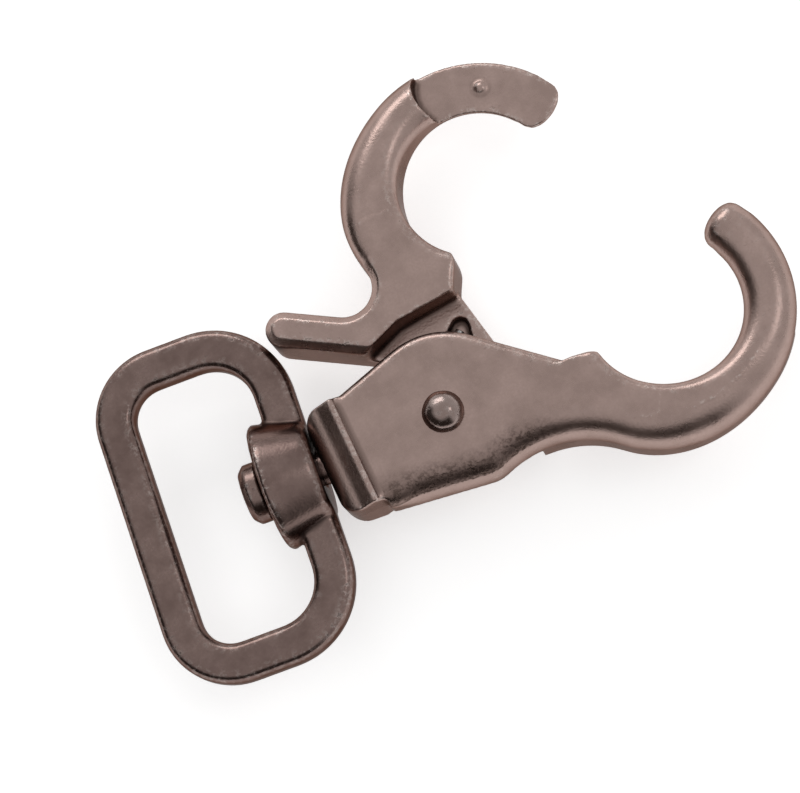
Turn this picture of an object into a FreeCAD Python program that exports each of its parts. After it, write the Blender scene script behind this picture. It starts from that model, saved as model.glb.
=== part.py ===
import FreeCAD, Part
import math
import os

# Scissor snap hook lying on its back: two cast jaws lap at one rivet and at
# their tips, a spring between them shuts them, and a strap ring swivels on a
# headed stud behind. Millimetres and degrees. The origin is the centre of the
# closed eye at mid thickness, +X runs from the pivot to the eye, +Y is the
# side that the moving jaw opens to, and +Z is the front.

# Driving dimensions of the two jaws
EYE_RADIUS = 6.0
PIVOT_TO_EYE = 18.4
OPENING_DEG = 57.8
BODY_THICKNESS = 5.8
PLATE_GAP = 0.10
PLATE_RADIUS = 6.35
NOTCH_TO_EYE = 2.48
SHOULDER_DROP = 0.48
PEAK_DROP = 0.1
PEAK_RUN = 0.72
PEAK_FALL = 0.36
ROOT_WIDTH = 4.85
TIP_WIDTH = 4.0
TIP_THICKNESS = 4.2
ROOT_INNER_EDGE = 0.75
ROOT_OUTER_EDGE = 1.3
TIP_EDGE = 1.8
PLATE_EDGE = 0.7

# How the bar is drawn round the eye: each measure changes over its own span
TAPER_START_DEG = 225.0
WIDTH_SPAN_DEG = 75.0
THICKNESS_SPAN_DEG = 130.0
INNER_EDGE_SPAN_DEG = 100.0
OUTER_EDGE_SPAN_DEG = 60.0
ROOT_MARGIN_DEG = 3.0
ROOT_OVERLAP_DEG = 12.0
DOME_RISES_DEG = (0, 25, 50, 72)
BAR_SECTIONS = 7
CORNER_SIDES = 3

# Working margins: how far a cutting shape overshoots, and how edges are picked
CUT_MARGIN = 1.0
PICK_MARGIN = 0.2
CHEEK_EDGE_LENGTH = 1.5

# Underside of the fixed jaw: a round heel, then a waist that runs into the bar
HEEL_X = 1.5
HEEL_DEPTH = 6.15
HEEL_RADIUS = 2.8
FIXED_WAIST_RADIUS = 8.5

# Back plate of the moving jaw
BACK_PLATE_INSET = 1.05

# Room that each jaw leaves for the other's plate
ROOM_TOE = 0.45
ROOM_RISE = 0.05
ROOM_BEND_X = 6.6
ROOM_BEND_Y = -4.5
ROOM_HEEL_X = 3.3
ROOM_HEEL_Y = -7.1

# Half lap of the tips
TIP_ANGLE_DEG = 30.5
TIP_END_LENGTH = 1.2
STEP_GAP = 0.35
LAP_GAP = 0.40
LAP_MIDDLE_DEG = 20.0
LAP_STOP_DEG = 75.0
LAP_SIDE_GAP = 0.1
PIP_ANGLE_DEG = 5.0
PIP_RADIUS = 0.55
PIP_HEIGHT = 0.33
PIP_ROOT = 0.2
DIMPLE_RADIUS = 0.75
DIMPLE_DEPTH = 0.25

# Thumb lever of the moving jaw, measured from the pivot
LEVER_REAR_X = 3.9
LEVER_WIDTH = 2.8
LEVER_REACH = 14.6
LEVER_WAIST_RADIUS = 2.2
LEVER_EDGE = 0.65

# Neck of the fixed jaw, measured from the pivot
NECK_FRONT_X = -6.75
NECK_END_X = -10.1
NECK_CENTRE_Y = 0.4
NECK_HALF_WIDTH = 4.4
NECK_FOOT_Y = -4.75
NECK_END_FLAT = 0.9
NECK_CORNER = 1.6
RIB_FRONT = 0.35
RIB_SLOPE = 0.15
RIB_WIDTH = 0.3
RIB_HEIGHT = 0.4
RIB_FALL = 0.25
RIB_FLANK = 1.4
FLANK_BULGE_SHARE = 0.22
FLANK_HEIGHT_SHARE = 0.57

# Rivet
RIVET_RADIUS = 1.2
RIVET_RUNNING_GAP = 0.05
RIVET_HEAD_RADIUS = 1.65
RIVET_HEAD_HEIGHT = 1.35
RIVET_BACK_RADIUS = 1.9
RIVET_BACK_HEIGHT = 0.8
RIVET_BACK_EDGE = 0.4

# Torsion spring
WIRE_DIAMETER = 0.7
WIRE_SIDES = 8
COIL_RADIUS = 2.3
POCKET_RADIUS = 3.2
POCKET_DEPTH = 1.15
POCKET_REACH = 7.3
POCKET_TIP_RADIUS = 0.7
LEG_END_GAP = 0.2
COIL_ROOM = 0.08

# Swivel stud and strap ring
SWIVEL_OFFSET = 0.8
SWIVEL_LEAN_DEG = 6.0
STUD_RADIUS = 1.3
STUD_SOCKET = 2.4
STUD_HEAD_RADIUS = 2.4
STUD_HEAD_LENGTH = 1.5
STUD_HEAD_EDGE = 0.525
STUD_HEAD_OVERLAP = 0.1
SWIVEL_RUNNING_GAP = 0.08
SWIVEL_END_GAP = 0.3
BOSS_LENGTH = 4.4
BOSS_FRONT_RADIUS = 4.05
BOSS_BACK_RADIUS = 5.1
BOSS_EDGE = 0.4
RING_BAR_WIDTH = 3.1
RING_BAR_THICKNESS = 2.8
RING_EDGE = 0.8
SLOT_HALF_WIDTH = 10.5
RING_INNER_CORNER = 3.5
RING_LENGTH = 15.6
RING_BACK_CORNER = 2.5

HALF = BODY_THICKNESS / 2
BACK_PLATE_RADIUS = PLATE_RADIUS - BACK_PLATE_INSET
NOTCH_X = PIVOT_TO_EYE - EYE_RADIUS - NOTCH_TO_EYE
NOTCH_REACH = math.hypot(NOTCH_X, SHOULDER_DROP)
CHEEK_DEG = math.degrees(math.acos(PLATE_RADIUS / NOTCH_REACH) - math.atan2(SHOULDER_DROP, NOTCH_X))
PIVOT_X = -PIVOT_TO_EYE


def vec(x, y, z=0.0):
    """A point given from the eye's centre."""
    return FreeCAD.Vector(x, y, z)


def piv(x, y, z=0.0):
    """A point given from the pivot axis."""
    return FreeCAD.Vector(PIVOT_X + x, y, z)


def from_pivot(radius, angle_deg):
    """A point at a radius and angle about the pivot."""
    angle = math.radians(angle_deg)
    return piv(radius * math.cos(angle), radius * math.sin(angle))


def polar(radius, angle_deg, z=0.0):
    """A point at a radius and angle about the eye."""
    angle = math.radians(angle_deg)
    return vec(radius * math.cos(angle), radius * math.sin(angle), z)


def line(a, b):
    return Part.LineSegment(a, b).toShape()


def arc(a, b, c):
    return Part.Arc(a, b, c).toShape()


def prism(edges, z_low, z_high):
    """A flat outline in XY raised between two heights."""
    wire = Part.Wire(edges)
    wire.translate(vec(0, 0, z_low))
    return Part.Face(wire).extrude(vec(0, 0, z_high - z_low))


def turned(edges, base, axis):
    """A flat profile turned once round an axis."""
    shape = Part.Face(Part.Wire(edges)).revolve(base, axis, 360)
    if shape.Volume < 0:
        shape.reverse()
    return shape


def disc(centre, radius, z_low, z_high):
    base = vec(centre.x, centre.y, z_low)
    return Part.makeCylinder(radius, z_high - z_low, base)


def tangent_arc(centre_a, reach_a, centre_b, reach_b):
    """Centre of the arc below, at given distances from two other centres."""
    across = centre_b - centre_a
    span = across.Length
    along = (reach_a ** 2 - reach_b ** 2 + span ** 2) / (2 * span)
    down = math.sqrt(reach_a ** 2 - along ** 2)
    unit = across * (1 / span)
    return centre_a + unit * along + vec(unit.y, -unit.x) * down


def toward(start, goal, length):
    """The point at a length from the start, on the way to the goal."""
    run = goal - start
    return start + run * (length / run.Length)


def smooth(share):
    """Ease from 0 to 1."""
    return share * share * (3 - 2 * share)


def blend(start, end, share):
    return start + (end - start) * smooth(min(max(share, 0), 1))


def outer_radius(angle_deg):
    """Outside of the hook's bar about the eye, wider towards its root."""
    after_root = angle_deg - TAPER_START_DEG - ROOT_MARGIN_DEG
    return EYE_RADIUS + blend(ROOT_WIDTH, TIP_WIDTH, after_root / WIDTH_SPAN_DEG)


def bar_section(angle_deg):
    """Rounded section of the hook's bar in the radial plane at an angle."""
    after_root = angle_deg - TAPER_START_DEG - ROOT_MARGIN_DEG
    half = blend(HALF, TIP_THICKNESS / 2, after_root / THICKNESS_SPAN_DEG)
    near = blend(ROOT_INNER_EDGE, TIP_EDGE, after_root / INNER_EDGE_SPAN_DEG)
    far = blend(ROOT_OUTER_EDGE, TIP_EDGE, after_root / OUTER_EDGE_SPAN_DEG)
    corners = rounded_corners(EYE_RADIUS, outer_radius(angle_deg), half, near, far)
    return Part.makePolygon([polar(r, angle_deg, z) for r, z in corners + corners[:1]])


def rounded_corners(low, high, half, near, far):
    """Corner points of a rectangle, each corner turned in short flats."""
    points = []
    turns = [(high - far, half - far, far, 90), (high - far, far - half, far, 0),
             (low + near, near - half, near, -90), (low + near, half - near, near, 180)]
    for centre_r, centre_z, radius, first in turns:
        for i in range(CORNER_SIDES + 1):
            angle = math.radians(first - 90 * i / CORNER_SIDES)
            points.append((centre_r + radius * math.cos(angle), centre_z + radius * math.sin(angle)))
    return points


def hook_bar(root_deg):
    """The curved bar from its root round the eye to its domed end."""
    stop = 360 + TIP_ANGLE_DEG
    step = (stop - root_deg) / (BAR_SECTIONS - 1)
    bar = Part.makeLoft([bar_section(root_deg + step * i) for i in range(BAR_SECTIONS)], True, False)
    return bar.fuse(bar_end(stop))


def bar_end(angle_deg):
    """The domed end: the bar's section drawn in step by step."""
    angle = math.radians(angle_deg)
    onward = vec(-math.sin(angle), math.cos(angle))
    middle = polar(EYE_RADIUS + TIP_WIDTH / 2, angle_deg)
    sections = []
    for rise in DOME_RISES_DEG:
        share = math.cos(math.radians(rise))
        ring = bar_section(angle_deg)
        shrink = FreeCAD.Matrix()
        shrink.move(middle * -1)
        shrink.scale(share, share, share)
        shrink.move(middle + onward * (TIP_END_LENGTH * math.sin(math.radians(rise))))
        sections.append(ring.transformGeometry(shrink))
    return Part.makeLoft(sections, True, True)


def eye_side(cheek_top, cut_angle):
    """Cheek, notch, shoulder and eye arc, from the cheek's top to the cut."""
    notch = piv(NOTCH_X, -SHOULDER_DROP)
    drop = SHOULDER_DROP + PEAK_DROP
    peak = vec(-EYE_RADIUS - PEAK_RUN, -drop)
    peak_angle = 180 + math.degrees(math.asin((drop + PEAK_FALL) / EYE_RADIUS))
    lip = polar(EYE_RADIUS, peak_angle)
    half_way = polar(EYE_RADIUS, (peak_angle + cut_angle) / 2)
    last = polar(EYE_RADIUS, cut_angle)
    return [
        line(cheek_top, notch),
        line(notch, peak),
        line(peak, lip),
        arc(lip, half_way, last),
        line(last, polar(EYE_RADIUS + ROOT_WIDTH, cut_angle)),
    ]


def closed(points):
    """Straight edges from each point to the next and back to the first."""
    return [line(a, b) for a, b in zip(points, points[1:] + points[:1])]


def full_thickness(edges):
    """A closed outline raised from the back face to the front face."""
    wire = Part.Wire(Part.__sortEdges__(edges))
    wire.translate(vec(0, 0, -HALF))
    return Part.Face(wire).extrude(vec(0, 0, BODY_THICKNESS))


def fixed_waist():
    """Centres of the heel and of the waist's arc under the fixed jaw."""
    heel = piv(HEEL_X, HEEL_RADIUS - HEEL_DEPTH)
    outer = EYE_RADIUS + ROOT_WIDTH
    waist = tangent_arc(heel, HEEL_RADIUS + FIXED_WAIST_RADIUS, vec(0, 0), outer + FIXED_WAIST_RADIUS)
    return heel, waist


def moving_waist():
    """Centre of the arc between the lever's front and the moving jaw's bar."""
    x = PIVOT_X + LEVER_REAR_X + LEVER_WIDTH + LEVER_WAIST_RADIUS
    reach = EYE_RADIUS + ROOT_WIDTH + LEVER_WAIST_RADIUS
    return vec(x, -math.sqrt(reach ** 2 - x ** 2))


def root_angle(waist):
    """Where the bar starts: a little past the waist's end."""
    return math.degrees(math.atan2(waist.y, waist.x)) % 360 + ROOT_MARGIN_DEG


def outer_arc(start, root_deg, cut_deg):
    """The bar's outer edge from the waist's end on past the root."""
    outer = EYE_RADIUS + ROOT_WIDTH
    return arc(start, polar(outer, root_deg), polar(outer, cut_deg))


def fixed_blank():
    """Fixed jaw's outline: plate, cheek, shoulder, underside and neck root."""
    heel, waist = fixed_waist()
    root_deg = root_angle(waist)
    cut_deg = root_deg + ROOT_OVERLAP_DEG
    cheek_top = from_pivot(PLATE_RADIUS, CHEEK_DEG)
    upper = piv(NECK_FRONT_X, NECK_CENTRE_Y + NECK_HALF_WIDTH)
    lower = piv(NECK_FRONT_X, NECK_FOOT_Y)
    reach = math.hypot(NECK_FRONT_X, upper.y)
    bearing = math.degrees(math.atan2(upper.y, NECK_FRONT_X) - math.acos(PLATE_RADIUS / reach))
    touch = from_pivot(PLATE_RADIUS, bearing)
    over = from_pivot(PLATE_RADIUS, (bearing + CHEEK_DEG) / 2)
    run = lower - heel
    down = math.atan2(run.y, run.x) + math.acos(HEEL_RADIUS / run.Length)
    foot = heel + vec(math.cos(down), math.sin(down)) * HEEL_RADIUS
    heel_end = toward(heel, waist, HEEL_RADIUS)
    heel_middle = toward(heel, (foot + heel_end) * 0.5, HEEL_RADIUS)
    waist_end = toward(waist, vec(0, 0), FIXED_WAIST_RADIUS)
    waist_middle = toward(waist, (heel_end + waist_end) * 0.5, FIXED_WAIST_RADIUS)
    edges = [line(lower, upper), line(upper, touch), arc(touch, over, cheek_top)]
    edges += eye_side(cheek_top, cut_deg)
    edges += [line(lower, foot), arc(foot, heel_middle, heel_end), arc(heel_end, waist_middle, waist_end)]
    edges.append(outer_arc(waist_end, root_deg, cut_deg))
    return full_thickness(edges), root_deg


def moving_blank():
    """Moving jaw's outline without the round of its plate: jaw and lever."""
    waist = moving_waist()
    root_deg = root_angle(waist)
    cut_deg = root_deg + ROOT_OVERLAP_DEG
    cheek_top = from_pivot(PLATE_RADIUS, CHEEK_DEG)
    above = CHEEK_DEG + math.degrees(math.acos(BACK_PLATE_RADIUS / PLATE_RADIUS))
    crown = from_pivot(BACK_PLATE_RADIUS, above)
    rear = LEVER_REAR_X
    front = LEVER_REAR_X + LEVER_WIDTH
    end_radius = LEVER_WIDTH / 2
    end_y = -LEVER_REACH + end_radius
    waist_start = waist - vec(LEVER_WAIST_RADIUS, 0)
    waist_end = toward(waist, vec(0, 0), LEVER_WAIST_RADIUS)
    waist_middle = toward(waist, (waist_start + waist_end) * 0.5, LEVER_WAIST_RADIUS)
    rear_top = piv(rear, -BACK_PLATE_RADIUS / 2)
    edges = [line(rear_top, piv(rear, end_y))]
    edges.append(arc(piv(rear, end_y), piv(rear + end_radius, -LEVER_REACH), piv(front, end_y)))
    edges += [line(piv(front, end_y), waist_start), arc(waist_start, waist_middle, waist_end)]
    edges.append(outer_arc(waist_end, root_deg, cut_deg))
    edges += eye_side(cheek_top, cut_deg)
    edges += [line(cheek_top, crown), line(crown, piv(0, 0)), line(piv(0, 0), rear_top)]
    return full_thickness(edges), root_deg


def face_edges(solid, chosen):
    """The edges of the front and back faces that a test picks."""
    return [e for e in solid.Edges if abs(abs(e.CenterOfMass.z) - HALF) < 1e-6 and chosen(e)]


def round_edges(solid, radius, chosen):
    return solid.makeFillet(radius, face_edges(solid, chosen))


def on_eye(edge):
    points = [edge.valueAt(edge.FirstParameter), edge.valueAt(edge.LastParameter)]
    return all(abs(math.hypot(p.x, p.y) - EYE_RADIUS) < 1e-4 for p in points) and edge.Length > 1


def middle_of(edge):
    return edge.valueAt((edge.FirstParameter + edge.LastParameter) / 2)


def on_belly(edge):
    middle = middle_of(edge)
    below = middle.y < -SHOULDER_DROP - CUT_MARGIN and middle.x > PIVOT_X + NECK_FRONT_X + PICK_MARGIN
    return below and not on_eye(edge) and not is_root_line(edge)


def is_root_line(edge):
    """The short line across the bar, which the root cut takes away."""
    middle = middle_of(edge)
    across = EYE_RADIUS + ROOT_WIDTH / 2
    return isinstance(edge.Curve, Part.Line) and abs(math.hypot(middle.x, middle.y) - across) < 1e-6


def on_lever(edge):
    return on_belly(edge) and middle_of(edge).x > PIVOT_X + LEVER_REAR_X - 1e-6


def on_cheek(edge):
    middle = middle_of(edge)
    above = middle.y > -SHOULDER_DROP + PICK_MARGIN and edge.Length > CHEEK_EDGE_LENGTH
    return above and middle.x > PIVOT_X + NECK_FRONT_X + PICK_MARGIN


def on_back_cheek(edge):
    """The cheek's two straight edges, without the lines inside the plate."""
    middle = middle_of(edge)
    return on_cheek(edge) and math.hypot(middle.x - PIVOT_X, middle.y) > BACK_PLATE_RADIUS


def root_cut(root_deg):
    """Everything beyond the radial plane where the bar starts."""
    angle = math.radians(root_deg)
    radial = vec(math.cos(angle), math.sin(angle))
    onward = vec(-math.sin(angle), math.cos(angle))
    a = radial * (EYE_RADIUS / 2)
    b = radial * (EYE_RADIUS + 2 * ROOT_WIDTH)
    reach = onward * EYE_RADIUS
    return prism(closed([a, b, b + reach, a + reach]), -HALF - CUT_MARGIN, HALF + CUT_MARGIN)


def mate_room():
    """Space behind the plate that the other jaw's plate turns in."""
    far = -SHOULDER_DROP + ROOM_RISE
    edge = PLATE_RADIUS + 2 * CUT_MARGIN
    points = [
        piv(NOTCH_X - ROOM_TOE, far),
        piv(ROOM_BEND_X, ROOM_BEND_Y),
        piv(ROOM_HEEL_X, ROOM_HEEL_Y),
        piv(ROOM_HEEL_X - CUT_MARGIN, ROOM_HEEL_Y - 2 * CUT_MARGIN),
        piv(NECK_FRONT_X, ROOM_HEEL_Y - 2 * CUT_MARGIN),
        piv(NECK_FRONT_X, edge),
        piv(NOTCH_X + PLATE_RADIUS, edge),
        piv(NOTCH_X + PLATE_RADIUS, far),
    ]
    return prism(closed(points), -HALF - CUT_MARGIN, PLATE_GAP / 2)


def lap_room():
    """Space behind the tip for the other jaw's half."""
    start = -TIP_ANGLE_DEG - math.degrees(STEP_GAP / (EYE_RADIUS + TIP_WIDTH / 2))
    inner = EYE_RADIUS - CUT_MARGIN
    outer = EYE_RADIUS + TIP_WIDTH + CUT_MARGIN
    low = -HALF - CUT_MARGIN
    high = LAP_GAP / 2
    sector = prism([
        arc(polar(inner, start), polar(inner, LAP_MIDDLE_DEG), polar(inner, LAP_STOP_DEG)),
        line(polar(inner, LAP_STOP_DEG), polar(outer, LAP_STOP_DEG)),
        arc(polar(outer, LAP_STOP_DEG), polar(outer, LAP_MIDDLE_DEG), polar(outer, start)),
        line(polar(outer, start), polar(inner, start)),
    ], low, high)
    centre = EYE_RADIUS + TIP_WIDTH / 2
    bowl = disc(vec(0, 0), 1, low, high)
    squeeze = FreeCAD.Matrix()
    squeeze.scale(TIP_WIDTH / 2 + LAP_SIDE_GAP, TIP_END_LENGTH, 1)
    bowl = bowl.transformGeometry(squeeze)
    bowl.rotate(vec(0, 0), vec(0, 0, 1), start)
    bowl.translate(polar(centre, start))
    return sector.fuse(bowl)


def spring_pocket():
    """Round pocket with a pointed channel for the coil and one leg."""
    low = PLATE_GAP / 2 - CUT_MARGIN
    high = POCKET_DEPTH
    pocket = disc(piv(0, 0), POCKET_RADIUS, low, high)
    tip = disc(piv(POCKET_REACH, 0), POCKET_TIP_RADIUS, low, high)
    lean = math.asin((POCKET_RADIUS - POCKET_TIP_RADIUS) / POCKET_REACH)
    side_x = math.sin(lean)
    side_y = math.cos(lean)
    corners = [
        piv(POCKET_RADIUS * side_x, POCKET_RADIUS * side_y),
        piv(POCKET_REACH + POCKET_TIP_RADIUS * side_x, POCKET_TIP_RADIUS * side_y),
        piv(POCKET_REACH + POCKET_TIP_RADIUS * side_x, -POCKET_TIP_RADIUS * side_y),
        piv(POCKET_RADIUS * side_x, -POCKET_RADIUS * side_y),
    ]
    channel = prism(closed(corners), low, high)
    return pocket.fuse([tip, channel])


def hook_from(blank, root_deg):
    """Add the bar to a filleted blank, and cut the lap and the other's room."""
    body = blank.cut(root_cut(root_deg)).fuse(hook_bar(root_deg))
    body = body.cut(lap_room())
    body = body.cut(mate_room())
    return body.cut(spring_pocket())


def pip():
    """Locating pip on a lap flat, in the fixed jaw's place, facing back."""
    centre = polar(EYE_RADIUS + TIP_WIDTH / 2, -PIP_ANGLE_DEG)
    ball = (PIP_RADIUS ** 2 + PIP_HEIGHT ** 2) / (2 * PIP_HEIGHT)
    low = LAP_GAP / 2
    dome = Part.makeSphere(ball, vec(centre.x, centre.y, low - PIP_HEIGHT + ball))
    keep = disc(centre, PIP_RADIUS, low - PIP_HEIGHT - CUT_MARGIN, low + PIP_ROOT)
    return dome.common(keep)


def dimple():
    """Shallow hollow on the other flat that faces the pip."""
    centre = polar(EYE_RADIUS + TIP_WIDTH / 2, PIP_ANGLE_DEG)
    ball = (DIMPLE_RADIUS ** 2 + DIMPLE_DEPTH ** 2) / (2 * DIMPLE_DEPTH)
    return Part.makeSphere(ball, vec(centre.x, centre.y, LAP_GAP / 2 + DIMPLE_DEPTH - ball))


def neck():
    """Full-thickness end of the fixed jaw with its rib and rounded back."""
    crest = HALF + RIB_HEIGHT
    low = NECK_CENTRE_Y - NECK_HALF_WIDTH
    high = NECK_CENTRE_Y + NECK_HALF_WIDTH
    front = NECK_FRONT_X
    end = NECK_END_X
    edges = []
    for side in (1, -1):
        a = piv(front, low, side * HALF)
        b = piv(front - RIB_FRONT, low, side * HALF)
        c = piv(front - RIB_FRONT - RIB_SLOPE, low, side * crest)
        d = piv(front - RIB_FRONT - RIB_SLOPE - RIB_WIDTH, low, side * crest)
        e = piv(end + RIB_FLANK, low, side * (HALF - RIB_FALL))
        f = piv(end, low, side * NECK_END_FLAT)
        bulge_z = (HALF - RIB_FALL + NECK_END_FLAT) * FLANK_HEIGHT_SHARE
        g = piv(end + RIB_FLANK * FLANK_BULGE_SHARE, low, side * bulge_z)
        edges += [line(a, b), line(b, c), line(c, d), line(d, e), arc(e, g, f)]
    edges.append(line(piv(front, low, HALF), piv(front, low, -HALF)))
    edges.append(line(piv(end, low, NECK_END_FLAT), piv(end, low, -NECK_END_FLAT)))
    face = Part.Face(Part.Wire(Part.__sortEdges__(edges)))
    block = face.extrude(vec(0, high - low, 0))
    corner = NECK_CORNER
    k = corner * (1 - math.sqrt(0.5))
    plan = prism([
        line(piv(front, low), piv(front, high)),
        line(piv(front, high), piv(end + corner, high)),
        arc(piv(end + corner, high), piv(end + k, high - k), piv(end, high - corner)),
        line(piv(end, high - corner), piv(end, low + corner)),
        arc(piv(end, low + corner), piv(end + k, low + k), piv(end + corner, low)),
        line(piv(end + corner, low), piv(front, low)),
    ], -crest - CUT_MARGIN, crest + CUT_MARGIN)
    return block.common(plan)


def seated(shape):
    """Move a swivel piece from its own X axis onto the leaning swivel axis."""
    shape.rotate(vec(0, 0), vec(0, 0, 1), -SWIVEL_LEAN_DEG)
    shape.translate(piv(NECK_END_X, SWIVEL_OFFSET))
    return shape


def rod(radius, start, end):
    """A round bar along X between two places."""
    return Part.makeCylinder(radius, end - start, vec(start, 0), vec(1, 0, 0))


def fixed_jaw():
    blank, root_deg = fixed_blank()
    blank = round_edges(blank, ROOT_OUTER_EDGE, on_belly)
    blank = round_edges(blank, ROOT_INNER_EDGE, on_eye)
    blank = round_edges(blank, PLATE_EDGE, on_cheek)
    body = hook_from(blank, root_deg).fuse(neck())
    body = body.cut(disc(piv(0, 0), RIVET_RADIUS, -HALF - CUT_MARGIN, HALF + CUT_MARGIN))
    body = body.cut(dimple())
    return body.cut(seated(rod(STUD_RADIUS, -CUT_MARGIN, STUD_SOCKET)))


def back_plate():
    """Round of the moving jaw's plate with its rim drawn in short flats."""
    rim = [(BACK_PLATE_RADIUS - back_by, HALF - down) for back_by, down in edge_steps(PLATE_EDGE)]
    points = [(0, HALF)] + rim
    corners = [piv(r, 0, z) for r, z in points] + [piv(r, 0, -z) for r, z in reversed(points)]
    return turned(closed(corners), piv(0, 0), vec(0, 0, 1))


def moving_jaw():
    """The moving jaw, turned over onto its back and opened to rest."""
    blank, root_deg = moving_blank()
    blank = blank.makeChamfer(LEVER_EDGE, face_edges(blank, on_lever))
    blank = round_edges(blank, ROOT_INNER_EDGE, on_eye)
    blank = round_edges(blank, PLATE_EDGE, on_back_cheek)
    body = hook_from(blank.fuse(back_plate()), root_deg).fuse(pip())
    body = body.cut(disc(piv(0, 0), RIVET_RADIUS + RIVET_RUNNING_GAP, -HALF - CUT_MARGIN, HALF + CUT_MARGIN))
    body.rotate(vec(0, 0), vec(1, 0, 0), 180)
    body.rotate(piv(0, 0), vec(0, 0, 1), OPENING_DEG)
    return body


def rivet_head(face_z):
    """Low dome that stands on a plate, part of a ball on the pivot axis."""
    ball = (RIVET_HEAD_RADIUS ** 2 + RIVET_HEAD_HEIGHT ** 2) / (2 * RIVET_HEAD_HEIGHT)
    top = face_z + RIVET_HEAD_HEIGHT
    dome = Part.makeSphere(ball, piv(0, 0, top - ball))
    return dome.common(disc(piv(0, 0), 2 * RIVET_HEAD_RADIUS, face_z, top + CUT_MARGIN))


def peened_head(face_z):
    """Flat-topped head at the back, with a sloped rim."""
    head = disc(piv(0, 0), RIVET_BACK_RADIUS, face_z - RIVET_BACK_HEIGHT, face_z)
    rim = [e for e in head.Edges if abs(e.CenterOfMass.z - face_z + RIVET_BACK_HEIGHT) < 1e-6]
    return head.makeChamfer(RIVET_BACK_EDGE, rim)


def pivot_rivet():
    back = -HALF - RIVET_RUNNING_GAP
    shank = disc(piv(0, 0), RIVET_RADIUS, back, HALF)
    return shank.fuse([rivet_head(HALF), peened_head(back)])


def torsion_spring():
    """Coil round the rivet with a leg in each plate's channel."""
    leg_reach = POCKET_REACH - LEG_END_GAP
    tangent = math.degrees(math.acos(COIL_RADIUS / leg_reach))
    level = POCKET_DEPTH - WIRE_DIAMETER / 2 - COIL_ROOM
    start = -tangent
    turn = 720 - 2 * tangent - OPENING_DEG
    pitch = 2 * level * 360 / turn
    helix = Part.makeHelix(pitch, 2 * level, COIL_RADIUS)
    corners = [wire_corner(i) for i in range(WIRE_SIDES)]
    section = Part.makePolygon(corners + corners[:1])
    coil = Part.Wire(helix.Edges).makePipeShell([section], True, True)
    coil.translate(vec(0, 0, -level))
    coil.rotate(vec(0, 0), vec(0, 0, 1), start - turn)
    coil.translate(piv(0, 0))
    fixed_leg = spring_leg(from_pivot(COIL_RADIUS, start), piv(leg_reach, 0), level)
    moving_leg = spring_leg(from_pivot(COIL_RADIUS, start - turn), from_pivot(leg_reach, OPENING_DEG), -level)
    return coil.fuse([fixed_leg, moving_leg])


def wire_corner(index):
    """A corner of the coil's many-sided section, in the XZ plane."""
    angle = 2 * math.pi * (index + 0.5) / WIRE_SIDES
    reach = WIRE_DIAMETER / 2
    return vec(COIL_RADIUS + reach * math.cos(angle), 0, reach * math.sin(angle))


def spring_leg(start, end, z):
    """Straight leg that begins a little inside the end of the coil."""
    run = end - start
    inside = toward(start, end, -WIRE_DIAMETER / 3)
    place = vec(inside.x, inside.y, z)
    return Part.makeCylinder(WIRE_DIAMETER / 2, run.Length + WIRE_DIAMETER / 3, place, run)


def swivel_stud():
    neck_of_head = -SWIVEL_END_GAP - BOSS_LENGTH - SWIVEL_END_GAP
    shank = rod(STUD_RADIUS, neck_of_head - STUD_HEAD_OVERLAP, STUD_SOCKET)
    head = rod(STUD_HEAD_RADIUS, neck_of_head - STUD_HEAD_LENGTH, neck_of_head)
    rims = [e for e in head.Edges if abs(e.CenterOfMass.x - neck_of_head + STUD_HEAD_LENGTH) < 1e-6]
    head = head.makeChamfer(STUD_HEAD_EDGE, rims)
    return seated(shank.fuse(head))


def ring_outline(grow, z, half, front, back, front_corner, back_corner):
    """Rounded rectangle of the ring at a height, made larger by a margin."""
    k = 1 - math.sqrt(0.5)
    fc = front_corner + grow
    bc = back_corner + grow
    w = half + grow
    x = front + grow
    end = back - grow
    return Part.Wire([
        line(vec(x, fc - w, z), vec(x, w - fc, z)),
        arc(vec(x, w - fc, z), vec(x - fc * k, w - fc * k, z), vec(x - fc, w, z)),
        line(vec(x - fc, w, z), vec(end + bc, w, z)),
        arc(vec(end + bc, w, z), vec(end + bc * k, w - bc * k, z), vec(end, w - bc, z)),
        line(vec(end, w - bc, z), vec(end, bc - w, z)),
        arc(vec(end, bc - w, z), vec(end + bc * k, bc * k - w, z), vec(end + bc, -w, z)),
        line(vec(end + bc, -w, z), vec(x - fc, -w, z)),
        arc(vec(x - fc, -w, z), vec(x - fc * k, fc * k - w, z), vec(x, fc - w, z)),
    ])


def edge_steps(radius):
    """How far a rounded edge stands back, and how far down, in short flats."""
    turns = [math.radians(90 * i / CORNER_SIDES) for i in range(CORNER_SIDES + 1)]
    return [(radius * (1 - math.sin(a)), radius * (1 - math.cos(a))) for a in turns]


def ring_loop():
    """Flat loop of the ring: an outer block less the slot for the strap."""
    front = -SWIVEL_END_GAP
    back = front - RING_LENGTH
    bar = RING_BAR_WIDTH
    high = RING_BAR_THICKNESS / 2
    outside = (SLOT_HALF_WIDTH + bar, front, back, RING_INNER_CORNER + bar, RING_BACK_CORNER + bar)
    inside = (SLOT_HALF_WIDTH, front - bar, back + bar, RING_INNER_CORNER, RING_BACK_CORNER)
    steps = edge_steps(RING_EDGE)
    levels = [(back_by, high - down) for back_by, down in steps]
    levels += [(back_by, down - high) for back_by, down in reversed(steps)]
    block = Part.makeLoft([ring_outline(-d, z, *outside) for d, z in levels], True, True)
    past = [(RING_EDGE, high + CUT_MARGIN)] + levels + [(RING_EDGE, -high - CUT_MARGIN)]
    hole = Part.makeLoft([ring_outline(d, z, *inside) for d, z in past], True, True)
    return block.cut(hole)


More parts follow.
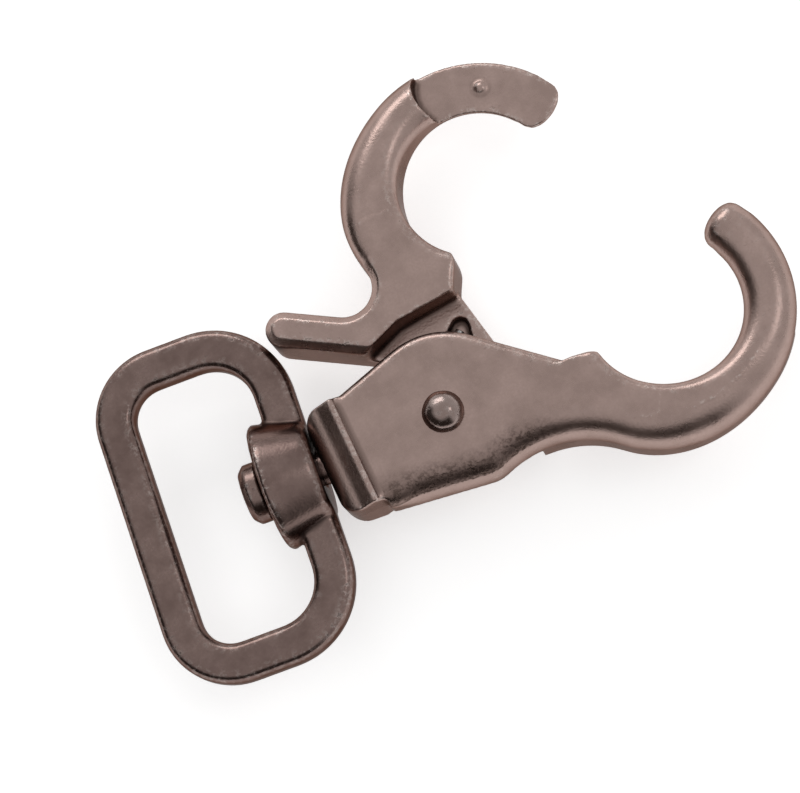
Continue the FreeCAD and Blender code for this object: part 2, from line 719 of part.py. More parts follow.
def ring_boss():
    """Bell-shaped boss round the stud, wider towards the back."""
    front = -SWIVEL_END_GAP
    back = front - BOSS_LENGTH
    edge = BOSS_EDGE
    corners = [
        vec(front, 0),
        vec(front, BOSS_FRONT_RADIUS - edge),
        vec(front - edge, BOSS_FRONT_RADIUS),
        vec(back + edge, BOSS_BACK_RADIUS),
        vec(back, BOSS_BACK_RADIUS - edge),
        vec(back, 0),
    ]
    return turned(closed(corners), vec(0, 0), vec(1, 0, 0))


def strap_ring():
    front = -SWIVEL_END_GAP
    ring = ring_loop().fuse(ring_boss())
    bore = rod(STUD_RADIUS + SWIVEL_RUNNING_GAP, front - BOSS_LENGTH - CUT_MARGIN, CUT_MARGIN)
    return seated(ring.cut(bore))


def build():
    os.makedirs("parts", exist_ok=True)
    pieces = {
        "fixed_jaw": fixed_jaw(),
        "moving_jaw": moving_jaw(),
        "pivot_rivet": pivot_rivet(),
        "torsion_spring": torsion_spring(),
        "swivel_stud": swivel_stud(),
        "strap_ring": strap_ring(),
    }
    for name, shape in pieces.items():
        shape = shape.removeSplitter()
        print(name, shape.isValid(), len(shape.Solids), round(shape.Volume, 2), len(shape.Faces))
        shape.exportStep("parts/" + name + ".step")


build()
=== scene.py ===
import math

import bpy
import numpy as np
from mathutils import Matrix, Vector
from mathutils import noise as field


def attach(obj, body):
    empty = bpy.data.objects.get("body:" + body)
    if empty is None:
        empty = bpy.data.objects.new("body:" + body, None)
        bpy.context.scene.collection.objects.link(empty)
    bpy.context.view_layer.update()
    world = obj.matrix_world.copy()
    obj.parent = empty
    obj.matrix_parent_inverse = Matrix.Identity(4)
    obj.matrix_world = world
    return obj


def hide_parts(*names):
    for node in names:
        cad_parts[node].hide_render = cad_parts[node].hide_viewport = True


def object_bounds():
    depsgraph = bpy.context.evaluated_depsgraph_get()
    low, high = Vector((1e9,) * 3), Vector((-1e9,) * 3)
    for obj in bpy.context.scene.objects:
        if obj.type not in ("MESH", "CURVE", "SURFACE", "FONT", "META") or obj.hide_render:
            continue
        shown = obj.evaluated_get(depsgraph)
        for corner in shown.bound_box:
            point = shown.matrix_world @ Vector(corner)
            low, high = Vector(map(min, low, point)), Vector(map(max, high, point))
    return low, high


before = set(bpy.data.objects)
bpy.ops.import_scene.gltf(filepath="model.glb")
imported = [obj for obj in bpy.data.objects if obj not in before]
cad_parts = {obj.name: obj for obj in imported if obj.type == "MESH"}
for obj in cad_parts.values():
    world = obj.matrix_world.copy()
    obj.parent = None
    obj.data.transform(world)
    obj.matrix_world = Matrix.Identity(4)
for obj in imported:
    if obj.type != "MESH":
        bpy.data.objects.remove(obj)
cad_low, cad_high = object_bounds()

# Scissor snap hook on a white sweep. Metres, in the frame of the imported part:
# the origin is the centre of the closed eye, +X runs from the pivot to the eye,
# +Y is the side that the moving jaw opens to and +Z is the front. Each cast
# piece is a skin over its solid, with the soft edges of a plated casting.

MM = 0.001
TINY = 1e-9

# Where the part's features are, in millimetres and degrees
PIVOT_X = -18.4
OPENING_DEG = 57.8
HALF_THICKNESS = 2.9
LAP_Z = 0.2
EYE_RADIUS = 6.0

# The round section of the hooks' bars, which the solids draw in short flats
ROOT_WIDTH = 4.85
TIP_WIDTH = 4.0
HALF_TIP_THICKNESS = 2.1
ROOT_INNER_EDGE = 0.75
ROOT_OUTER_EDGE = 1.3
TIP_EDGE = 1.8
TAPER_START_DEG = 228.0
WIDTH_SPAN_DEG = 75.0
THICKNESS_SPAN_DEG = 130.0
INNER_EDGE_SPAN_DEG = 100.0
OUTER_EDGE_SPAN_DEG = 60.0
TIP_END_DEG = 387.0
END_FADE_DEG = 6.0
SECTION_REACH = 0.12
SECTION_FADE_START = 0.5

# The front's outer edge rolls over widely from the neck to past the bottom:
# each jaw's extra radius, and where it starts and fades
FIXED_ROOT_DEG = 226.0
FIXED_ROLL = 1.1
MOVING_ROOT_DEG = 232.0
MOVING_ROLL = 0.5
MOVING_ROLL_RISE_DEG = 30.0
ROLL_FADE_START_DEG = 270.0
ROLL_FADE_SPAN_DEG = 75.0

# The fixed plate's underside is straight from the neck's foot to a round heel,
# and a hollow waist joins that to the bar
NECK_FRONT_X = -25.15
NECK_FOOT_Y = -4.75
HEEL = (-16.9, -3.35)
HEEL_RADIUS = 2.8
WAIST_RADIUS = 8.5

# Where the plate's lower edge is rolled, and over what length the roll grows
ROLL_START_GAP = 0.2
ROLL_RISE = 2.5
UNDERSIDE_TOP_Y = -1.0
PROUD_LIMIT = 0.2

# Where the castings are softer: the tip's end and shoulder of the fixed jaw,
# the outer root of the bar and the shoulder of the moving jaw (x, y, reach)
FIXED_SOFT = [(6.6, 4.9, 3.2), (-6.8, -0.7, 1.0)]
MOVING_SOFT = [(-18.85, 14.4, 2.4), (-13.1, 9.45, 1.6)]
SOFT_PASSES = 30

# Faint dents in the fixed jaw's front: place, radius and depth
DENTS = [
    ((-20.3, -1.2), 0.6, 0.035),
    ((-16.6, -0.7), 0.5, 0.03),
    ((-13.3, -1.9), 0.5, 0.03),
    ((-22.6, -2.6), 0.5, 0.025),
]

# The zone of the fixed jaw's front along its lower edge that is painted darker, as painted
# shade standing for a dark reflection, with pits in it
SHADE_ZONE_DEPTH = 0.9
SHADE_ZONE_DEPTH_FADE = 2.0
SHADE_ZONE_END_X = -14.5
SHADE_ZONE_END_FADE = 5.0
SHADE_ZONE_LAYER = 1.0

# How near to a flat face, and how level, a point is that is put back on it
LEVEL_REACH = 0.03
LEVEL_NORMAL = 0.995

# How worn edges, shaded hollows and pitted shoulders are found: passes of relaxing, and the
# height or depth at which each is full; the hollows get painted shade
NEAR_PASSES = 12
WIDE_PASSES = 90
EDGE_HEIGHT = 0.05
HOLLOW_DEPTH = 0.04
SHOULDER_HEIGHT = 0.22

# The hammered unevenness of the rivet's heads
HAMMER_SCALE = 900.0
HAMMER_HEIGHT = 0.05

# Camera of the photograph, measured about the pivot
IMAGE_WIDTH = 800
SENSOR_WIDTH = 36.0
FOCAL_PIXELS = 3419.0
CLIP_START = 0.01
CAMERA_SHIFT = (-3.67, 1.715, 261.0)
CAMERA_PITCH = -11.4
CAMERA_YAW = -8.4
CAMERA_ROLL = 25.1

# The white floor, in metres
FLOOR_REACH = 2.0
FLOOR_COLOUR = (0.85, 0.85, 0.85, 1.0)
FLOOR_GLOW_COLOUR = (1.0, 1.0, 1.0, 1.0)
FLOOR_ROUGHNESS = 0.9
FLOOR_GLOW = 0.55

# The pale dome and the dark wall low on one side, which the metal mirrors:
# between which nearnesses of bearing and which heights its edges fade
DOME_COLOUR = (0.72, 0.72, 0.72, 1.0)
WALL_COLOUR = (0.05, 0.042, 0.038, 1.0)
WALL_BEARING = (-0.862, -0.507, 0.0)
WALL_SIDE_FADE = (0.0, 0.38)
WALL_TOP_FADE = (0.84, 0.5)
LIGHT_TARGET = (-0.015, 0.0, 0.0)


def rotation(angle_deg, axis):
    return Matrix.Rotation(math.radians(angle_deg), 3, axis)


def make_camera():
    """The camera looks down on the lying hook from the photograph's side."""
    turn = rotation(CAMERA_PITCH, "X") @ rotation(CAMERA_YAW, "Y") @ rotation(CAMERA_ROLL, "Z")
    back = turn.transposed()
    place = back @ Vector(CAMERA_SHIFT) + Vector((PIVOT_X, 0.0, 0.0))
    data = bpy.data.cameras.new("camera")
    data.sensor_width = SENSOR_WIDTH
    data.sensor_fit = "HORIZONTAL"
    data.lens = FOCAL_PIXELS * SENSOR_WIDTH / IMAGE_WIDTH
    data.clip_start = CLIP_START
    camera = bpy.data.objects.new("camera", data)
    camera.matrix_world = Matrix.Translation(place * MM) @ back.to_4x4()
    bpy.context.scene.collection.objects.link(camera)
    bpy.context.scene.camera = camera


def remeshed(node, voxel):
    """A copy of a node's mesh in even quads, as a new mesh."""
    draft = bpy.data.objects.new("draft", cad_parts[node].data.copy())
    bpy.context.scene.collection.objects.link(draft)
    remesh = draft.modifiers.new("voxels", "REMESH")
    remesh.mode = "VOXEL"
    remesh.voxel_size = voxel * MM
    evaluated = draft.evaluated_get(bpy.context.evaluated_depsgraph_get())
    mesh = bpy.data.meshes.new_from_object(evaluated)
    bpy.data.objects.remove(draft)
    return mesh


def read_points(mesh):
    points = np.empty(len(mesh.vertices) * 3)
    mesh.vertices.foreach_get("co", points)
    return points.reshape(-1, 3)


def read_normals(mesh):
    normals = np.empty(len(mesh.vertices) * 3)
    mesh.vertices.foreach_get("normal", normals)
    return normals.reshape(-1, 3)


def write_points(mesh, points):
    mesh.vertices.foreach_set("co", points.ravel())
    mesh.update()


def neighbour_table(mesh):
    """Both ends of every edge, and each vertex's number of neighbours."""
    ends = np.empty(len(mesh.edges) * 2, dtype=np.int64)
    mesh.edges.foreach_get("vertices", ends)
    ends = ends.reshape(-1, 2)
    count = np.bincount(ends.ravel(), minlength=len(mesh.vertices))
    return ends, count


def relaxed(points, table, passes):
    """Points moved half-way to their neighbours' mean, several times."""
    ends, count = table
    total = len(points)
    for _ in range(passes):
        mean = np.empty_like(points)
        for axis in range(3):
            column = points[:, axis]
            sums = np.bincount(ends[:, 0], column[ends[:, 1]], total)
            sums += np.bincount(ends[:, 1], column[ends[:, 0]], total)
            mean[:, axis] = sums / count
        points = (points + mean) / 2
    return points


def ease(start, end, share):
    """From start at a share of 0 to end at 1, level at both ends."""
    share = np.clip(share, 0, 1)
    return start + (end - start) * share * share * (3 - 2 * share)


def softened(points, table, places):
    """Points relaxed more around some places, given as (x, y, reach) in mm."""
    soft = relaxed(points, table, SOFT_PASSES)
    share = np.zeros(len(points))
    for x, y, reach in places:
        gap = np.hypot(points[:, 0] / MM - x, points[:, 1] / MM - y)
        share = np.maximum(share, ease(1, 0, gap / reach))
    return points + (soft - points) * share[:, None]


def about_pivot(across, up, angle_deg):
    """Both plan coordinates, in millimetres, after a turn about the pivot."""
    angle = math.radians(angle_deg)
    x = across - PIVOT_X
    y = up
    turned_x = x * math.cos(angle) - y * math.sin(angle) + PIVOT_X
    turned_y = x * math.sin(angle) + y * math.cos(angle)
    return turned_x, turned_y


def jaw_frame(points, opened):
    """Points in millimetres as the jaw was drawn, closed and face up."""
    local = points / MM
    if not opened:
        return local
    x, y = about_pivot(local[:, 0], local[:, 1], -OPENING_DEG)
    return np.column_stack([x, -y, -local[:, 2]])


def from_jaw_frame(local, opened):
    """Points back from the frame that the jaw was drawn in, in metres."""
    if not opened:
        return local * MM
    x, y = about_pivot(local[:, 0], -local[:, 1], OPENING_DEG)
    return np.column_stack([x, y, -local[:, 2]]) * MM


def bar_size(angle):
    """Width, half thickness and inner and outer edge radius along the bar."""
    after_root = angle - TAPER_START_DEG
    width = ease(ROOT_WIDTH, TIP_WIDTH, after_root / WIDTH_SPAN_DEG)
    half = ease(HALF_THICKNESS, HALF_TIP_THICKNESS, after_root / THICKNESS_SPAN_DEG)
    near = ease(ROOT_INNER_EDGE, TIP_EDGE, after_root / INNER_EDGE_SPAN_DEG)
    far = ease(ROOT_OUTER_EDGE, TIP_EDGE, after_root / OUTER_EDGE_SPAN_DEG)
    return width, half, near, far


def round_bar(points, opened):
    """Moves the bar's skin from the solid's short flats to a round section."""
    root_deg = MOVING_ROOT_DEG if opened else FIXED_ROOT_DEG
    roll = MOVING_ROLL if opened else FIXED_ROLL
    front = -1 if opened else 1
    local = jaw_frame(points, opened)
    height = local[:, 2]
    angle = np.degrees(np.arctan2(local[:, 1], local[:, 0]))
    angle = np.where(angle < root_deg - 180, angle + 360, angle)
    reach = np.hypot(local[:, 0], local[:, 1])
    width, half, near, far = bar_size(angle)
    across = reach - EYE_RADIUS - width / 2

    # The front's outer edge gets the wide roll
    extra = ease(roll, 0, (angle - ROLL_FADE_START_DEG) / ROLL_FADE_SPAN_DEG)
    if opened:
        extra = extra * ease(0, 1, (angle - root_deg) / MOVING_ROLL_RISE_DEG)
    far = np.where(height * front > 0, np.minimum(far + extra, half), far)

    # How far each point stands out of the section, and which way is out
    corner = np.where(across < 0, near, far)
    over_r = np.abs(across) - width / 2 + corner
    over_z = np.abs(height) - half + corner
    in_corner = (over_r > 0) & (over_z > 0)
    length = np.hypot(np.maximum(over_r, 0), np.maximum(over_z, 0))
    depth = length + np.minimum(np.maximum(over_r, over_z), 0) - corner
    side_r = np.where(in_corner, over_r / np.maximum(length, TINY), over_r > over_z)
    side_r = side_r * np.sign(across)
    side_z = np.where(in_corner, over_z / np.maximum(length, TINY), over_z >= over_r)
    side_z = side_z * np.sign(height)

    # Only the skin near the section moves, between the root and the tip
    fade = ease(0, 1, (angle - root_deg) / END_FADE_DEG)
    fade = fade * ease(0, 1, (TIP_END_DEG - angle) / END_FADE_DEG)
    inside = ease(1, 0, -depth / SECTION_REACH - SECTION_FADE_START)
    fade = fade * np.where(depth > 0, 1, inside)
    fade = fade * (depth < roll)
    shift = depth * fade
    scale = (reach - side_r * shift) / reach
    moved = np.column_stack([local[:, 0] * scale, local[:, 1] * scale, height - side_z * shift])
    return from_jaw_frame(moved, opened)


def waist_centre():
    """Centre of the arc that joins the round heel to the bar."""
    heel = np.array(HEEL)
    reach_heel = HEEL_RADIUS + WAIST_RADIUS
    reach_eye = EYE_RADIUS + ROOT_WIDTH + WAIST_RADIUS
    span = math.hypot(*HEEL)
    along = (reach_heel ** 2 - reach_eye ** 2 + span ** 2) / (2 * span)
    down = math.sqrt(reach_heel ** 2 - along ** 2)
    unit = -heel / span
    return heel + unit * along + np.array([unit[1], -unit[0]]) * down


def left_of(points, start, end):
    """Which points lie to the left of the line from start to end."""
    run = end - start
    return run[0] * (points[:, 1] - start[1]) - run[1] * (points[:, 0] - start[0]) > 0


def under_depth(plan):
    """How deep each point lies within the underside, and which way is out."""
    heel = np.array(HEEL)
    waist = waist_centre()
    neck_foot = np.array([NECK_FRONT_X, NECK_FOOT_Y])
    run = neck_foot - heel
    down = math.atan2(run[1], run[0]) + math.acos(HEEL_RADIUS / math.hypot(*run))
    line_out = np.array([math.cos(down), math.sin(down)])
    line_end = heel + line_out * HEEL_RADIUS
    depth = (line_end - plan) @ line_out
    out = np.tile(line_out, (len(plan), 1))
    from_waist = plan - waist
    from_heel = plan - heel
    heel_reach = np.hypot(*from_heel.T)
    waist_reach = np.hypot(*from_waist.T)
    eye_reach = np.hypot(*plan.T)
    past_line = ~left_of(plan, line_end, heel)
    past_heel = ~left_of(plan, waist, heel)
    past_waist = ~left_of(plan, waist, np.zeros(2))
    for chosen, gap, way in [
        (past_line, HEEL_RADIUS - heel_reach, from_heel / heel_reach[:, None]),
        (past_heel, waist_reach - WAIST_RADIUS, -from_waist / waist_reach[:, None]),
        (past_waist, EYE_RADIUS + ROOT_WIDTH - eye_reach, plan / eye_reach[:, None]),
    ]:
        depth = np.where(chosen, gap, depth)
        out = np.where(chosen[:, None], way, out)
    return depth, out


def rolled(points):
    """Rolls the fixed plate's lower front edge over to the bar's wide radius."""
    local = points / MM
    depth, out = under_depth(local[:, :2])
    angle = np.degrees(np.arctan2(local[:, 1], local[:, 0])) % 360
    past_neck = local[:, 0] - NECK_FRONT_X - ROLL_START_GAP
    edge = ROOT_OUTER_EDGE + ease(0, FIXED_ROLL, past_neck / ROLL_RISE)
    along = edge - depth
    up = local[:, 2] - HALF_THICKNESS + edge
    reach = np.hypot(along, up)
    moved = (local[:, 1] < UNDERSIDE_TOP_Y) & (local[:, 0] > NECK_FRONT_X)
    moved &= (angle > 90) & (angle < FIXED_ROOT_DEG + END_FADE_DEG)
    moved &= (along > 0) & (up > 0) & (reach > edge) & (depth > -PROUD_LIMIT)
    share = np.where(moved, edge / np.maximum(reach, TINY) - 1, 0)
    local[:, :2] += out * (along * share)[:, None]
    local[:, 2] += up * share
    return local * MM


def flatten(points, normals, heights):
    """Levels what lies near a flat face at one of the heights."""
    for height in heights:
        near = np.abs(points[:, 2] - height * MM) < LEVEL_REACH * MM
        level = near & (np.abs(normals[:, 2]) > LEVEL_NORMAL)
        points[level, 2] = height * MM
    return points


def dent(points, normals, place, radius, depth):
    """Pushes a small round hollow into the front face at (x, y) millimetres."""
    away = np.hypot(points[:, 0] / MM - place[0], points[:, 1] / MM - place[1]) / radius
    front = np.clip(normals[:, 2], 0, 1)
    return points - np.array([0, 0, 1]) * (depth * MM * front * np.exp(-away * away))[:, None]


def lower_shade_share(points):
    """How much painted shade, standing for a dark reflection, the front gets along the plate's
    lower edge, from 0 to 1.
    """
    local = points / MM
    depth, _ = under_depth(local[:, :2])
    share = ease(1, 0, (depth - SHADE_ZONE_DEPTH) / SHADE_ZONE_DEPTH_FADE)
    share = share * ease(1, 0, (local[:, 0] - SHADE_ZONE_END_X) / SHADE_ZONE_END_FADE)
    return share * (local[:, 2] > HALF_THICKNESS - SHADE_ZONE_LAYER) * (local[:, 0] > NECK_FRONT_X)


def store(mesh, name, values):
    attribute = mesh.attributes.new(name, "FLOAT", "POINT")
    attribute.data.foreach_set("value", values.astype(np.float32))


def mark_edges(mesh, table):
    """Stores how far each point stands out of, or lies in, its surroundings."""
    points = read_points(mesh)
    normals = read_normals(mesh)
    near = ((points - relaxed(points, table, NEAR_PASSES)) * normals).sum(axis=1) / MM
    wide = ((points - relaxed(points, table, WIDE_PASSES)) * normals).sum(axis=1) / MM
    store(mesh, "edge", np.clip(near / EDGE_HEIGHT, 0, 1))
    store(mesh, "hollow", np.clip(-near / HOLLOW_DEPTH, 0, 1))
    store(mesh, "shoulder", np.clip(wide / SHOULDER_HEIGHT, 0, 1))


def skin(node, name, body, material, voxel, passes, shape=None, soft=(), lower_painted_shade=None):
    """A soft-edged piece that stands for a CAD node and keeps its form."""
    mesh = remeshed(node, voxel)
    table = neighbour_table(mesh)
    write_points(mesh, relaxed(read_points(mesh), table, passes))
    if shape is not None:
        write_points(mesh, shape(read_points(mesh), read_normals(mesh)))
    if soft:
        write_points(mesh, softened(read_points(mesh), table, soft))
    if lower_painted_shade is not None:
        store(mesh, "lower_painted_shade", lower_painted_shade(read_points(mesh)))
    mesh.shade_smooth()
    mark_edges(mesh, table)
    mesh.materials.clear()
    mesh.materials.append(material)
    piece = bpy.data.objects.new(name, mesh)
    bpy.context.scene.collection.objects.link(piece)
    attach(piece, body)
    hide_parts(node)


def shape_fixed_jaw(points, normals):
    points = round_bar(points, False)
    points = flatten(points, normals, (HALF_THICKNESS, -HALF_THICKNESS, LAP_Z))
    points = rolled(points)
    for place, radius, depth in DENTS:
        points = dent(points, normals, place, radius, depth)
    return points


def shape_moving_jaw(points, normals):
    points = round_bar(points, True)
    return flatten(points, normals, (HALF_THICKNESS, -HALF_THICKNESS, -LAP_Z))


def shape_rivet(points, normals):
    """Faint hammered unevenness over the heads."""
    lift = np.array([field.noise(Vector(point) * HAMMER_SCALE) for point in points])
    return points + normals * (lift * HAMMER_HEIGHT * MM)[:, None]


class Tree:
    """The nodes of a material or the world, with short ways to add more."""

    def __init__(self, owner):
        owner.use_nodes = True
        self.nodes = owner.node_tree.nodes
        self.links = owner.node_tree.links
        self.coordinates = self.add("ShaderNodeTexCoord").outputs

    def add(self, kind, **settings):
        node = self.nodes.new(kind)
        for name, value in settings.items():
            setattr(node, name, value)
        return node

    def feed(self, socket, value):
        """Links a socket to another, or sets its value."""
        if isinstance(value, bpy.types.NodeSocket):
            self.links.new(value, socket)
        else:
            socket.default_value = value

    def noise(self, scale, detail, roughness=0.5, where=None):
        node = self.add("ShaderNodeTexNoise")
        self.feed(node.inputs["Vector"], where or self.coordinates["Object"])
        node.inputs["Scale"].default_value = scale
        node.inputs["Detail"].default_value = detail
        node.inputs["Roughness"].default_value = roughness
        return node.outputs["Fac"]

    def stretched(self, scale):
        node = self.add("ShaderNodeMapping")
        self.feed(node.inputs["Vector"], self.coordinates["Object"])
        node.inputs["Scale"].default_value = scale
        return node.outputs["Vector"]

    def ramp(self, source, *stops):
        """Colour that runs between two stops, each a position and a colour."""
        node = self.add("ShaderNodeValToRGB")
        for element, (position, colour) in zip(node.color_ramp.elements, stops):
            element.position = position
            element.color = (*colour, 1.0)
        self.feed(node.inputs["Fac"], source)
        return node.outputs["Color"]

    def span(self, source, low, high, to_low=0.0, to_high=1.0, smooth=False):
        """Source from low to high becomes to_low to to_high, held at the ends."""
        node = self.add("ShaderNodeMapRange")
        if smooth:
            node.interpolation_type = "SMOOTHSTEP"
        self.feed(node.inputs["Value"], source)
        values = {"From Min": low, "From Max": high, "To Min": to_low, "To Max": to_high}
        for name, value in values.items():
            node.inputs[name].default_value = value
        return node.outputs["Result"]

    def math(self, operation, a, b):
        node = self.add("ShaderNodeMath", operation=operation)
        self.feed(node.inputs[0], a)
        self.feed(node.inputs[1], b)
        return node.outputs["Value"]

    def vector_math(self, operation, a, b=None):
        node = self.add("ShaderNodeVectorMath", operation=operation)
        self.feed(node.inputs[0], a)
        if b is not None:
            self.feed(node.inputs[1], b)
        return node.outputs

    def mix(self, share, a, b):
        node = self.add("ShaderNodeMix", data_type="RGBA")
        self.feed(node.inputs["Factor"], share)
        self.feed(node.inputs["A"], a)
        self.feed(node.inputs["B"], b)
        return node.outputs["Result"]

    def attribute(self, name):
        return self.add("ShaderNodeAttribute", attribute_name=name).outputs["Fac"]

    def bump(self, height, strength, distance, before=None):
        node = self.add("ShaderNodeBump")
        node.inputs["Strength"].default_value = strength
        node.inputs["Distance"].default_value = distance
        self.feed(node.inputs["Height"], height)
        if before is not None:
            self.feed(node.inputs["Normal"], before)
        return node.outputs["Normal"]


def plating(name, dark, light, worn, shade_and_pits, rough, grain):
    """Satin gunmetal plating on a casting: mottled, worn bright at its edges,
    duller and painted darker as shade in its hollows, with casting grain and
    pits along the shoulders, and painted shade along a marked lower edge."""
    material = bpy.data.materials.new(name)
    tree = Tree(material)
    shader = tree.nodes["Principled BSDF"]
    shader.inputs["Metallic"].default_value = 1.0
    # The specular tint is dark so that grazing side walls mirror darker: painted shade standing
    # for a dark reflection
    shader.inputs["Specular Tint"].default_value = (0.32, 0.28, 0.265, 1.0)
    edge = tree.attribute("edge")
    hollow = tree.attribute("hollow")
    shoulder = tree.attribute("shoulder")
    lower_painted_shade = tree.attribute("lower_painted_shade")
    cloud = tree.noise(scale=95.0, detail=2.0)
    mottle = tree.noise(scale=420.0, detail=4.0, roughness=0.6)
    speck = tree.noise(scale=2600.0, detail=3.0, roughness=0.7)
    fine = tree.noise(scale=5200.0, detail=2.0)

    # Colour, from the plating's own mottling to wear and pits, with painted shade in the
    # hollows and along the fixed plate's lower edge
    tone = tree.ramp(mottle, (0.36, dark), (0.64, light))
    tone = tree.mix(tree.span(cloud, 0.42, 0.62, to_high=0.12), tone, (*dark, 1.0))
    tone = tree.mix(tree.span(fine, 0.4, 0.6, to_high=0.35), tone, (*dark, 1.0))
    tone = tree.mix(tree.span(speck, 0.52, 0.66, to_high=0.3), tone, (*light, 1.0))
    rubbed = tree.math("MULTIPLY", tree.span(edge, 0.15, 0.6), tree.span(speck, 0.5, 0.6))
    tone = tree.mix(tree.math("MULTIPLY", rubbed, 0.55), tone, (*worn, 1.0))
    # Painted shade: the hollows are painted darker, standing for the shade that falls in them
    tone = tree.mix(tree.span(hollow, 0.15, 0.9, to_high=0.75), tone, (*shade_and_pits, 1.0))
    # Painted shade: along the fixed plate's lower edge the front is painted darker in patches,
    # standing for a dark reflection
    patchy = tree.span(speck, 0.3, 0.6, to_low=0.35, to_high=0.8)
    tone = tree.mix(tree.math("MULTIPLY", lower_painted_shade, patchy), tone, (*shade_and_pits, 1.0))
    # Pits, darkened and sunk: along the shoulders, and in patches over the painted-shade zone
    # at the lower edge
    pits = tree.math("MULTIPLY", tree.span(speck, 0.6, 0.7), tree.span(shoulder, 0.1, 0.6))
    lower_shade_pits = tree.math("MULTIPLY", lower_painted_shade, tree.span(speck, 0.5, 0.62))
    pits = tree.math("MAXIMUM", pits, lower_shade_pits)
    tone = tree.mix(tree.math("MULTIPLY", pits, 0.6), tone, (*shade_and_pits, 1.0))
    tree.feed(shader.inputs["Base Color"], tone)

    # Gloss, duller in the hollows
    satin = tree.span(mottle, 0.3, 0.7, to_low=rough - 0.05, to_high=rough + 0.05)
    dull = tree.span(hollow, 0.1, 0.8, to_high=0.2)
    tree.feed(shader.inputs["Roughness"], tree.math("ADD", satin, dull))

    # Relief, from wide waves to grain, scratches and pits
    wavy = tree.bump(tree.noise(scale=180.0, detail=1.0), strength=0.35, distance=0.00012)
    grained = tree.bump(fine, strength=grain, distance=0.00002, before=wavy)
    lengthwise = tree.stretched((0.25, 3.0, 1.0))
    scratches = tree.span(tree.noise(scale=900.0, detail=2.0, where=lengthwise), 0.62, 0.68)
    scored = tree.bump(scratches, strength=0.12, distance=0.00001, before=grained)
    sunk = tree.math("MULTIPLY", pits, -1.0)
    pitted = tree.bump(sunk, strength=0.5, distance=0.00003, before=scored)
    tree.feed(shader.inputs["Normal"], pitted)
    return material


def make_floor():
    """White sweep under the hook that keeps its shadow."""
    signs = [(-1, -1), (1, -1), (1, 1), (-1, 1)]
    corners = [(x * FLOOR_REACH, y * FLOOR_REACH, cad_low[2]) for x, y in signs]
    mesh = bpy.data.meshes.new("floor")
    mesh.from_pydata(corners, [], [(0, 1, 2, 3)])
    floor = bpy.data.objects.new("floor", mesh)
    bpy.context.scene.collection.objects.link(floor)
    material = bpy.data.materials.new("white_floor")
    tree = Tree(material)
    shader = tree.nodes["Principled BSDF"]
    shader.inputs["Base Color"].default_value = FLOOR_COLOUR
    shader.inputs["Roughness"].default_value = FLOOR_ROUGHNESS
    shader.inputs["Specular IOR Level"].default_value = 0.0
    shader.inputs["Emission Color"].default_value = FLOOR_GLOW_COLOUR
    path = tree.add("ShaderNodeLightPath")
    seen = tree.math("MAXIMUM", path.outputs["Is Camera Ray"], path.outputs["Is Glossy Ray"])
    seen = tree.math("MAXIMUM", seen, path.outputs["Is Transmission Ray"])
    tree.feed(shader.inputs["Emission Strength"], tree.math("MULTIPLY", seen, FLOOR_GLOW))
    mesh.materials.append(material)


def area_light(name, place, size, power):
    """A soft box aimed at the hook, in metres and watts."""
    data = bpy.data.lights.new(name, "AREA")
    data.shape = "RECTANGLE"
    data.size, data.size_y = size
    data.energy = power
    light = bpy.data.objects.new(name, data)
    light.location = place
    aim = Vector(LIGHT_TARGET) - Vector(place)
    light.rotation_euler = aim.to_track_quat("-Z", "Y").to_euler()
    bpy.context.scene.collection.objects.link(light)


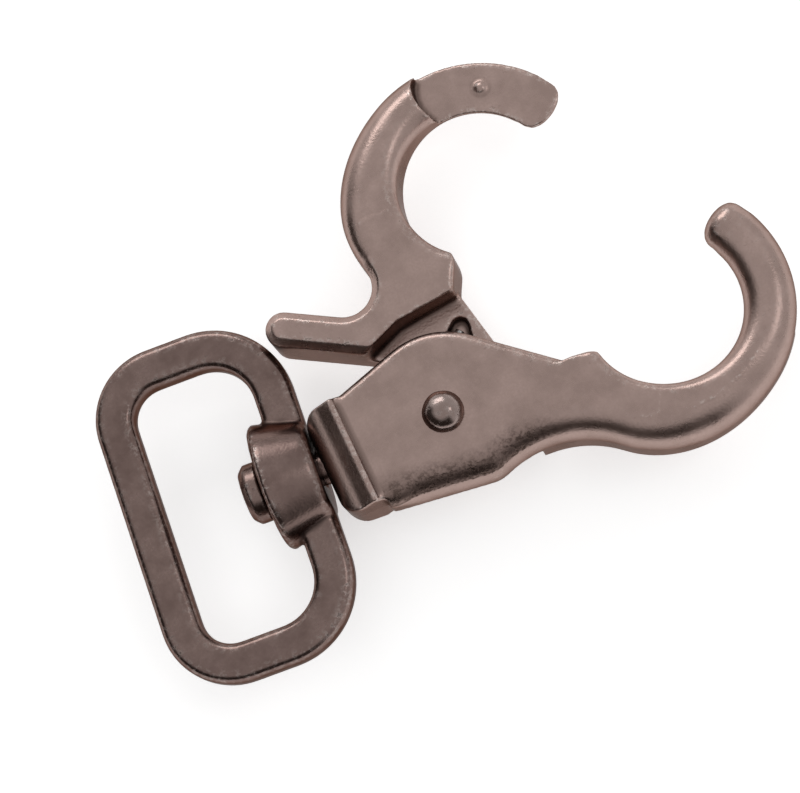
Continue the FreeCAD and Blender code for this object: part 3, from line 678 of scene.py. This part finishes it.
def make_light():
    """A pale dome that is darker low on one side, and two soft boxes."""
    world = bpy.data.worlds.new("studio")
    bpy.context.scene.world = world
    tree = Tree(world)
    direction = tree.coordinates["Generated"]
    level = tree.vector_math("MULTIPLY", direction, (1.0, 1.0, 0.0))["Vector"]
    bearing = tree.vector_math("NORMALIZE", level)["Vector"]
    toward = tree.vector_math("DOT_PRODUCT", bearing, WALL_BEARING)["Value"]
    split = tree.add("ShaderNodeSeparateXYZ")
    tree.feed(split.inputs["Vector"], direction)
    beside = tree.span(toward, *WALL_SIDE_FADE, smooth=True)
    below = tree.span(split.outputs["Z"], *WALL_TOP_FADE, smooth=True)
    shade = tree.mix(tree.math("MULTIPLY", beside, below), DOME_COLOUR, WALL_COLOUR)
    tree.feed(tree.nodes["Background"].inputs["Color"], shade)
    area_light("key", place=(0.0, 0.31, 0.18), size=(0.24, 0.12), power=0.24)
    area_light("side", place=(0.21, -0.03, 0.27), size=(0.1, 0.1), power=0.05)


make_camera()
make_floor()
make_light()
gunmetal = plating(
    "gunmetal_casting",
    dark=(0.345, 0.25, 0.222),
    light=(0.43, 0.315, 0.282),
    worn=(0.66, 0.57, 0.53),
    shade_and_pits=(0.09, 0.06, 0.05),
    rough=0.29,
    grain=0.8,
)
# The ring and the stud's head are the jaws' gunmetal painted darker, as painted shade for the
# shade they lie in
shaded_ring_metal = plating(
    "gunmetal_ring_painted_shade",
    dark=(0.165, 0.113, 0.1),
    light=(0.24, 0.17, 0.152),
    worn=(0.55, 0.48, 0.45),
    shade_and_pits=(0.05, 0.035, 0.03),
    rough=0.24,
    grain=0.5,
)
rivet_metal = plating(
    "rivet_steel",
    dark=(0.27, 0.2, 0.18),
    light=(0.36, 0.29, 0.27),
    worn=(0.6, 0.55, 0.52),
    shade_and_pits=(0.07, 0.045, 0.04),
    rough=0.2,
    grain=0.15,
)
wire = plating(
    "spring_wire",
    dark=(0.30, 0.28, 0.27),
    light=(0.42, 0.40, 0.39),
    worn=(0.6, 0.58, 0.57),
    shade_and_pits=(0.06, 0.05, 0.05),
    rough=0.25,
    grain=0.1,
)
skin("fixed_jaw", "fixed_jaw_casting", "frame", gunmetal,
     voxel=0.13, passes=5, shape=shape_fixed_jaw, soft=FIXED_SOFT, lower_painted_shade=lower_shade_share)
skin("moving_jaw", "moving_jaw_casting", "jaw", gunmetal,
     voxel=0.13, passes=5, shape=shape_moving_jaw, soft=MOVING_SOFT)
skin("strap_ring", "strap_ring_casting", "ring", shaded_ring_metal, voxel=0.13, passes=10)
skin("pivot_rivet", "rivet_heads", "frame", rivet_metal,
     voxel=0.09, passes=2, shape=shape_rivet)
skin("swivel_stud", "swivel_stud_head", "frame", shaded_ring_metal, voxel=0.1, passes=5)
skin("torsion_spring", "spring_coil", "frame", wire, voxel=0.07, passes=3)

bpy.context.scene.view_settings.view_transform = "Standard"
